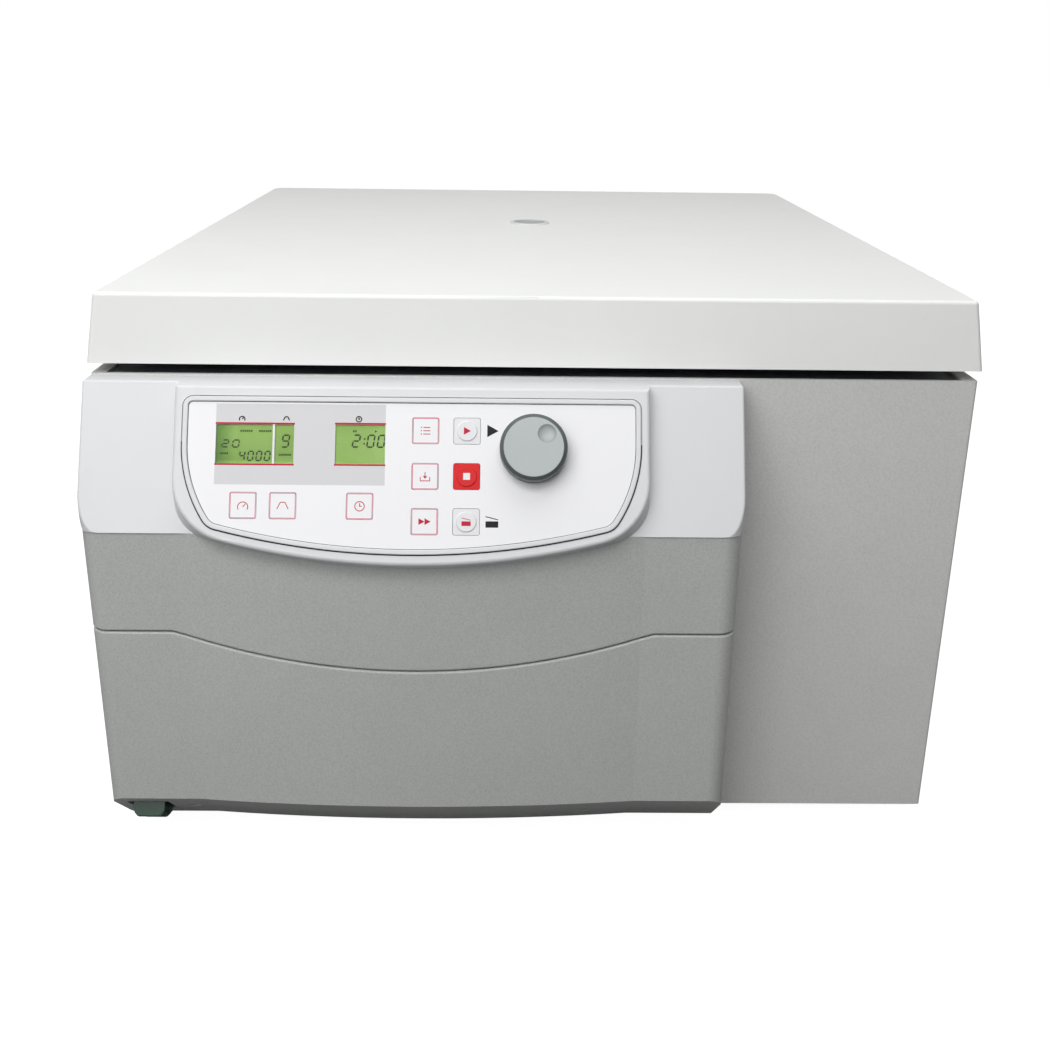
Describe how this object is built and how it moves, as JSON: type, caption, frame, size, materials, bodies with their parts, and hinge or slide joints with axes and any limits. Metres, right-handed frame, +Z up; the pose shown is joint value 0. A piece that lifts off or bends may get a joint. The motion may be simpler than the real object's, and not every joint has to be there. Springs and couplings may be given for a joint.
{
  "type": "microplate centrifuge",
  "caption": "Benchtop microplate centrifuge with a hinged top lid, a sloping keypad console and a swing-out rotor for microplates.",
  "frame": {"origin": "middle of the footprint, on the surface that the feet stand on", "axes": "+X to the user's right, +Y from the front console to the back, +Z up"},
  "size_m": [0.5432, 0.7233, 0.3614],
  "materials": {
    "lid_white": "satin fine-textured powder coat",
    "casing_grey": "fine-textured powder coat",
    "deck_black": "matt black paint",
    "zinc_steel": "zinc plated",
    "armour_steel": "hot rolled, oiled",
    "stainless": "brushed stainless",
    "bright_steel": "ground and polished",
    "light_plastic": "fine-textured moulding",
    "mid_plastic": "fine-textured moulding",
    "panel_film": "printed film",
    "key_white": "printed film",
    "key_grey": "satin film",
    "key_red": "printed film",
    "display_green": "liquid crystal glass",
    "clear_lens": "clear",
    "knob_grey": "satin moulding",
    "board_green": "solder resist",
    "black_plastic": "satin moulding",
    "switch_green": "translucent moulding",
    "black_rubber": "matt",
    "aluminium": "machined, clear anodised"
  },
  "bodies": {
    "unit": {"base_plate": "zinc_steel", "casing_shell": "casing_grey", "chamber_bowl": "stainless", "chamber_gasket": "black_rubber", "console_housing": "light_plastic", "console_trim": "light_plastic", "control_board": "board_green", "cover_screws": "zinc_steel", "deck_plate": "deck_black", "display_lenses": "clear_lens", "display_modules": "display_green", "encoder_body": "black_plastic", "fan_frame": "black_plastic", "feet": "black_rubber", "front_lower_cover": "mid_plastic", "front_upper_cover": "mid_plastic", "guard_ring": "armour_steel", "hinge_fixed_leaves": "bright_steel", "lock_brackets": "zinc_steel", "lock_motor": "black_plastic", "mains_inlet": "black_plastic", "mains_switch": "black_plastic", "membrane_panel": "panel_film", "motor_boot": "black_rubber", "motor_dampers": "black_rubber", "motor_housing": "aluminium", "motor_mount_plate": "zinc_steel", "power_board": "board_green", "rear_panel": "casing_grey", "strut_lower_pins": "bright_steel"},
    "lid": {"lid_shell": "lid_white", "lid_inner_pan": "casing_grey", "window_tube": "light_plastic", "window_lens": "clear_lens", "lid_strikers": "bright_steel", "hinge_moving_leaves": "bright_steel", "strut_upper_brackets": "bright_steel"},
    "rotor": {"drive_shaft": "bright_steel", "rotor_yoke": "aluminium", "rotor_nut": "bright_steel"},
    "bucket_left": {"bucket_left": "aluminium"},
    "bucket_right": {"bucket_right": "aluminium"},
    "lock": {"lock_shaft": "bright_steel"},
    "knob": {"control_knob": "knob_grey"},
    "rocker": {"mains_rocker": "switch_green"},
    "fan": {"fan_rotor": "black_plastic"},
    "strut_cylinder_left": {"strut_cylinder_left": "deck_black"},
    "strut_rod_left": {"strut_rod_left": "bright_steel"},
    "strut_cylinder_right": {"strut_cylinder_right": "deck_black"},
    "strut_rod_right": {"strut_rod_right": "bright_steel"},
    "key_program": {"key_program": "key_white"},
    "key_store": {"key_store": "key_white"},
    "key_quick": {"key_quick": "key_white"},
    "key_start": {"key_start": "key_grey"},
    "key_stop": {"key_stop": "key_red"},
    "key_lid": {"key_lid": "key_grey"},
    "key_speed": {"key_speed": "key_white"},
    "key_ramp": {"key_ramp": "key_white"},
    "key_time": {"key_time": "key_white"}
  },
  "joints": [
    {"name": "lid_hinge", "type": "hinge", "parent": "unit", "child": "lid", "pos_m": [0, 0.35746, 0.3153], "axis": [-1, 0, 0], "range_deg": [0, 70]},
    {"name": "strut_pivot_left", "type": "hinge", "parent": "unit", "child": "strut_cylinder_left", "pos_m": [-0.244, 0.33951, 0.22711], "axis": [-1, 0, 0], "range_deg": [0, 35.5]},
    {"name": "strut_slide_left", "type": "slide", "parent": "strut_cylinder_left", "child": "strut_rod_left", "axis": [0, -0.6883, 0.7254], "range_m": [0, 0.0661]},
    {"name": "strut_pivot_right", "type": "hinge", "parent": "unit", "child": "strut_cylinder_right", "pos_m": [0.244, 0.33951, 0.22711], "axis": [-1, 0, 0], "range_deg": [0, 35.5]},
    {"name": "strut_slide_right", "type": "slide", "parent": "strut_cylinder_right", "child": "strut_rod_right", "axis": [0, -0.6883, 0.7254], "range_m": [0, 0.0661]},
    {"name": "rotor_spin", "type": "hinge", "parent": "unit", "child": "rotor", "pos_m": [0, 0.06796, 0.237], "axis": [0, 0, 1], "continuous": true},
    {"name": "bucket_swing_right", "type": "hinge", "parent": "rotor", "child": "bucket_right", "pos_m": [0.1, 0.06796, 0.237], "axis": [0, -1, 0], "range_deg": [0, 90]},
    {"name": "bucket_swing_left", "type": "hinge", "parent": "rotor", "child": "bucket_left", "pos_m": [-0.1, 0.06796, 0.237], "axis": [0, 1, 0], "range_deg": [0, 90]},
    {"name": "lock_turn", "type": "hinge", "parent": "unit", "child": "lock", "pos_m": [0, -0.20904, 0.264], "axis": [1, 0, 0], "range_deg": [0, 35]},
    {"name": "knob_turn", "type": "hinge", "parent": "unit", "child": "knob", "pos_m": [-0.0022, -0.33081, 0.27848], "axis": [0, -0.891, 0.454], "continuous": true},
    {"name": "mains_switch_rock", "type": "hinge", "parent": "unit", "child": "rocker", "pos_m": [-0.2485, -0.31992, 0.03322], "axis": [-1, 0, 0], "range_deg": [0, 14]},
    {"name": "fan_spin", "type": "hinge", "parent": "unit", "child": "fan", "pos_m": [0.15, 0.33696, 0.162], "axis": [0, 1, 0], "continuous": true},
    {"name": "key_program_press", "type": "slide", "parent": "unit", "child": "key_program", "axis": [0, 0.891, -0.454], "range_m": [0, 0.0005], "stiffness_N_per_m": 6000},
    {"name": "key_store_press", "type": "slide", "parent": "unit", "child": "key_store", "axis": [0, 0.891, -0.454], "range_m": [0, 0.0005], "stiffness_N_per_m": 6000},
    {"name": "key_quick_press", "type": "slide", "parent": "unit", "child": "key_quick", "axis": [0, 0.891, -0.454], "range_m": [0, 0.0005], "stiffness_N_per_m": 6000},
    {"name": "key_start_press", "type": "slide", "parent": "unit", "child": "key_start", "axis": [0, 0.891, -0.454], "range_m": [0, 0.0005], "stiffness_N_per_m": 6000},
    {"name": "key_stop_press", "type": "slide", "parent": "unit", "child": "key_stop", "axis": [0, 0.891, -0.454], "range_m": [0, 0.0005], "stiffness_N_per_m": 6000},
    {"name": "key_lid_press", "type": "slide", "parent": "unit", "child": "key_lid", "axis": [0, 0.891, -0.454], "range_m": [0, 0.0005], "stiffness_N_per_m": 6000},
    {"name": "key_speed_press", "type": "slide", "parent": "unit", "child": "key_speed", "axis": [0, 0.891, -0.454], "range_m": [0, 0.0005], "stiffness_N_per_m": 6000},
    {"name": "key_ramp_press", "type": "slide", "parent": "unit", "child": "key_ramp", "axis": [0, 0.891, -0.454], "range_m": [0, 0.0005], "stiffness_N_per_m": 6000},
    {"name": "key_time_press", "type": "slide", "parent": "unit", "child": "key_time", "axis": [0, 0.891, -0.454], "range_m": [0, 0.0005], "stiffness_N_per_m": 6000}
  ],
  "couplings": [
    {"joint": "strut_pivot_left", "follows": "lid_hinge", "ratio": 0.5},
    {"joint": "strut_slide_left", "follows": "lid_hinge", "m_per_rad": 0.053941},
    {"joint": "strut_pivot_right", "follows": "lid_hinge", "ratio": 0.5},
    {"joint": "strut_slide_right", "follows": "lid_hinge", "m_per_rad": 0.053941}
  ]
}
